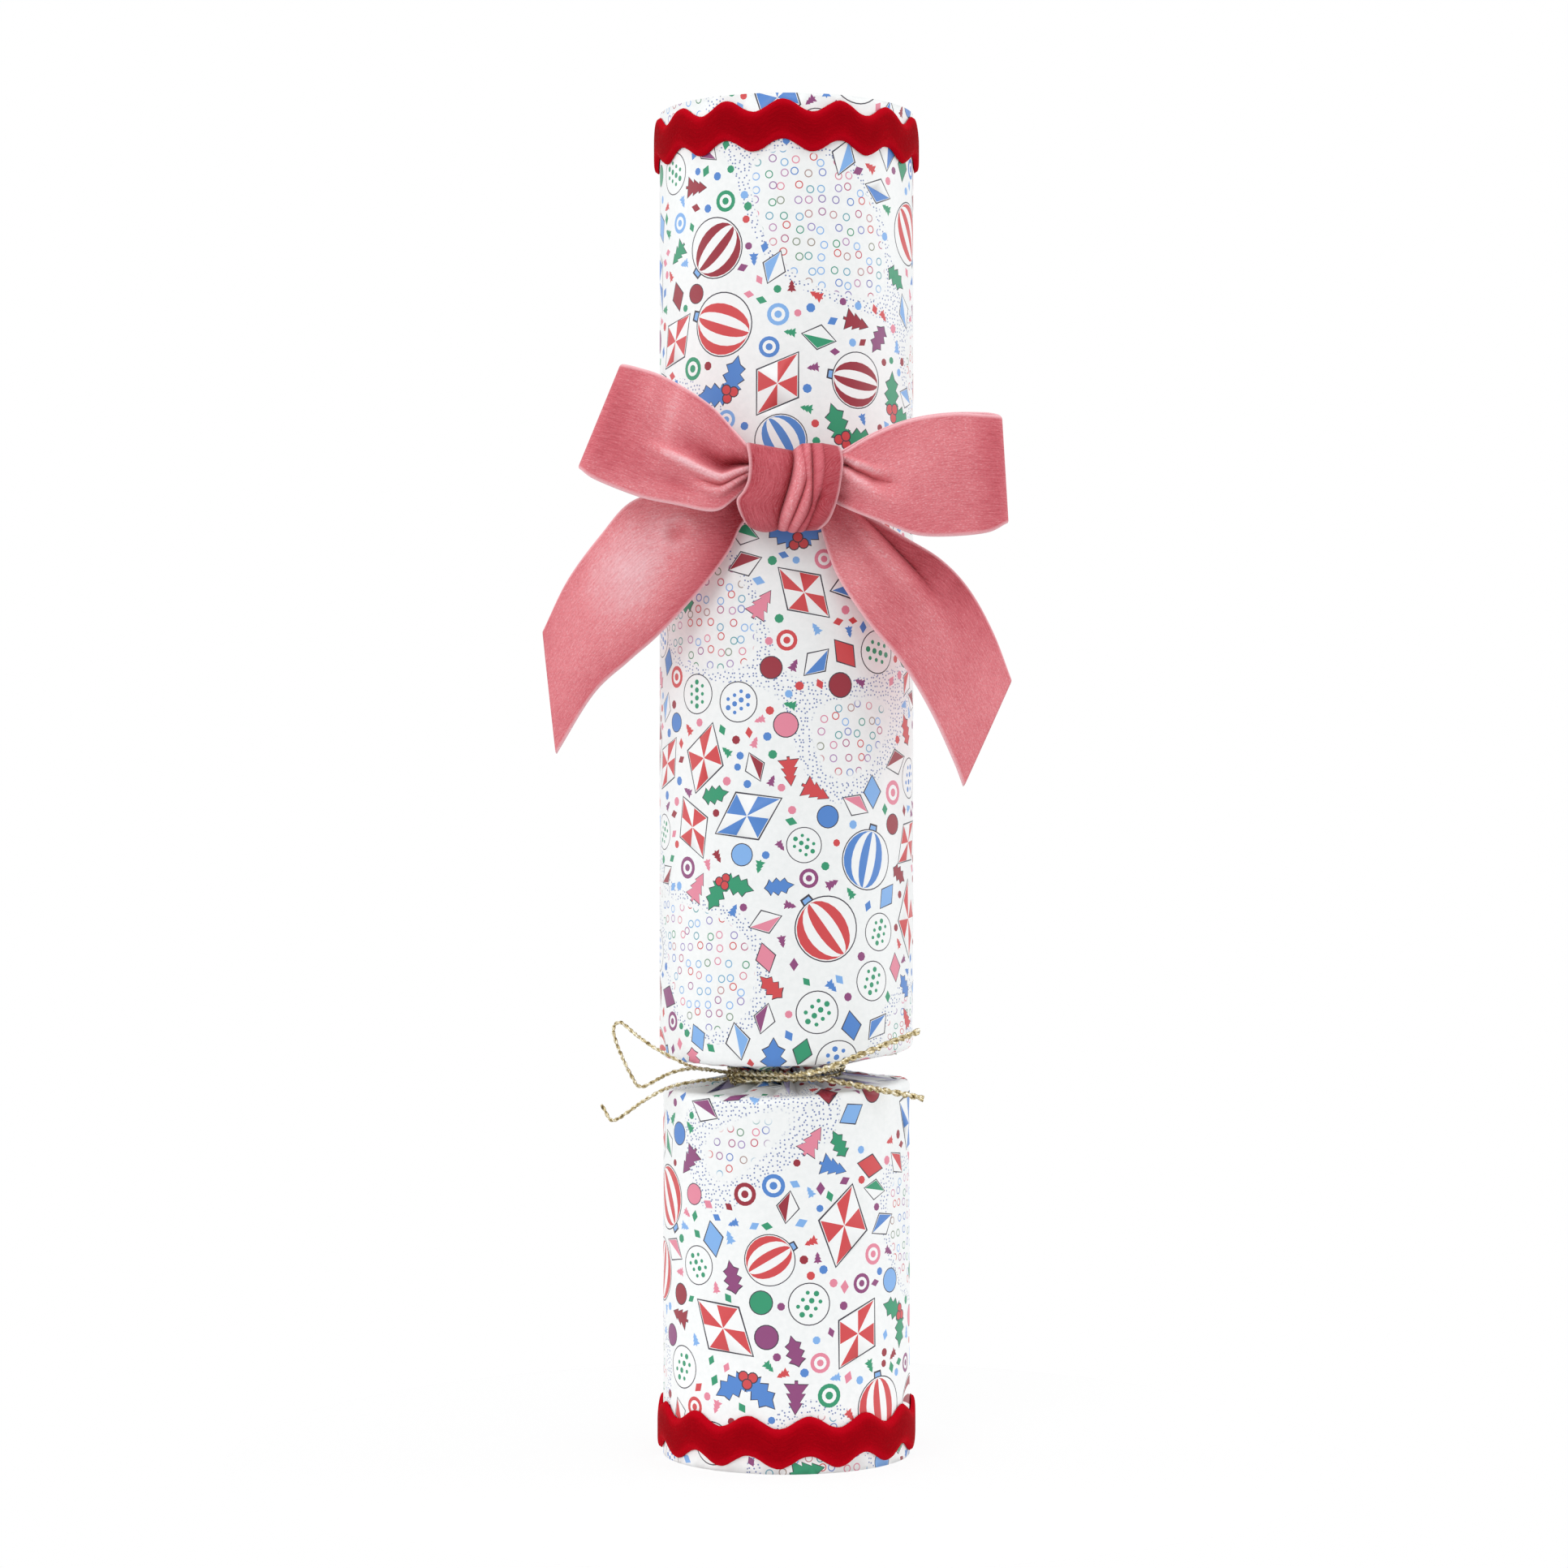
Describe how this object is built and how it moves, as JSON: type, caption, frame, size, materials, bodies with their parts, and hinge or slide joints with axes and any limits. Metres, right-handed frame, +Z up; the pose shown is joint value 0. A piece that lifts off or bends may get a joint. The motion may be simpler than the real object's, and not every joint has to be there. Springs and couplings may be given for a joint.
{
  "type": "christmas cracker",
  "caption": "Upright paper party cracker with gathered necks, ric-rac rims, a velvet bow, a gold cord tie, an inner snap and loose contents; its ends pull off along the axis.",
  "frame": {"origin": "middle of the lower rim, on the surface that the cracker stands on", "axes": "+Z up along the tube, -Y towards the front where the bow is tied, +X to the right seen from the front"},
  "size_m": [0.1032, 0.0733, 0.3],
  "materials": {
    "printed_paper": "satin printed paper, lilac on its inside",
    "card": "plain matt card",
    "rose_velvet": "dusty rose velvet ribbon",
    "red_velvet": "deep red velvet braid",
    "gold_cord": "twisted metallic cord",
    "snap_card": "grey-brown card",
    "abrasive": "gritty paper",
    "powder": "matt coated paper",
    "sleeve_paper": "thin plain paper",
    "tissue": "thin crinkled tissue",
    "slip_paper": "plain paper",
    "beech": "turned and waxed"
  },
  "bodies": {
    "barrel": {"barrel_wrap": "printed_paper", "barrel_card": "card", "ribbon_neck_band": "rose_velvet", "bow_knot": "rose_velvet", "bow_loop_left": "rose_velvet", "bow_loop_right": "rose_velvet", "bow_tail_left": "rose_velvet", "bow_tail_right": "rose_velvet", "cord_neck_winding": "gold_cord", "cord_knot": "gold_cord", "cord_loop_left": "gold_cord", "cord_end_left": "gold_cord", "cord_end_right_upper": "gold_cord", "cord_end_right_lower": "gold_cord"},
    "upper_end": {"upper_end_wrap": "printed_paper", "upper_end_card": "card", "upper_ricrac": "red_velvet", "upper_snap_strip": "snap_card", "snap_abrasive_pad": "abrasive"},
    "lower_end": {"lower_end_wrap": "printed_paper", "lower_end_card": "card", "lower_ricrac": "red_velvet", "lower_snap_strip": "snap_card", "snap_powder_pad": "powder", "snap_sleeve": "sleeve_paper"},
    "crown": {"paper_crown": "tissue"},
    "motto": {"motto_slip": "slip_paper"},
    "gift": {"wooden_skittle": "beech"}
  },
  "joints": [
    {"name": "upper_pull", "type": "slide", "parent": "barrel", "child": "upper_end", "axis": [0, 0, 1], "range_m": [0, 0.11]},
    {"name": "lower_pull", "type": "slide", "parent": "barrel", "child": "lower_end", "axis": [0, 0, -1], "range_m": [0, 0.11]},
    {"name": "crown_shift", "type": "slide", "parent": "barrel", "child": "crown", "axis": [0, 0, 1], "range_m": [0, 0.056]},
    {"name": "motto_shift", "type": "slide", "parent": "barrel", "child": "motto", "axis": [0, 0, 1], "range_m": [0, 0.058]},
    {"name": "gift_shift", "type": "slide", "parent": "barrel", "child": "gift", "axis": [0, 0, 1], "range_m": [0, 0.07]}
  ]
}
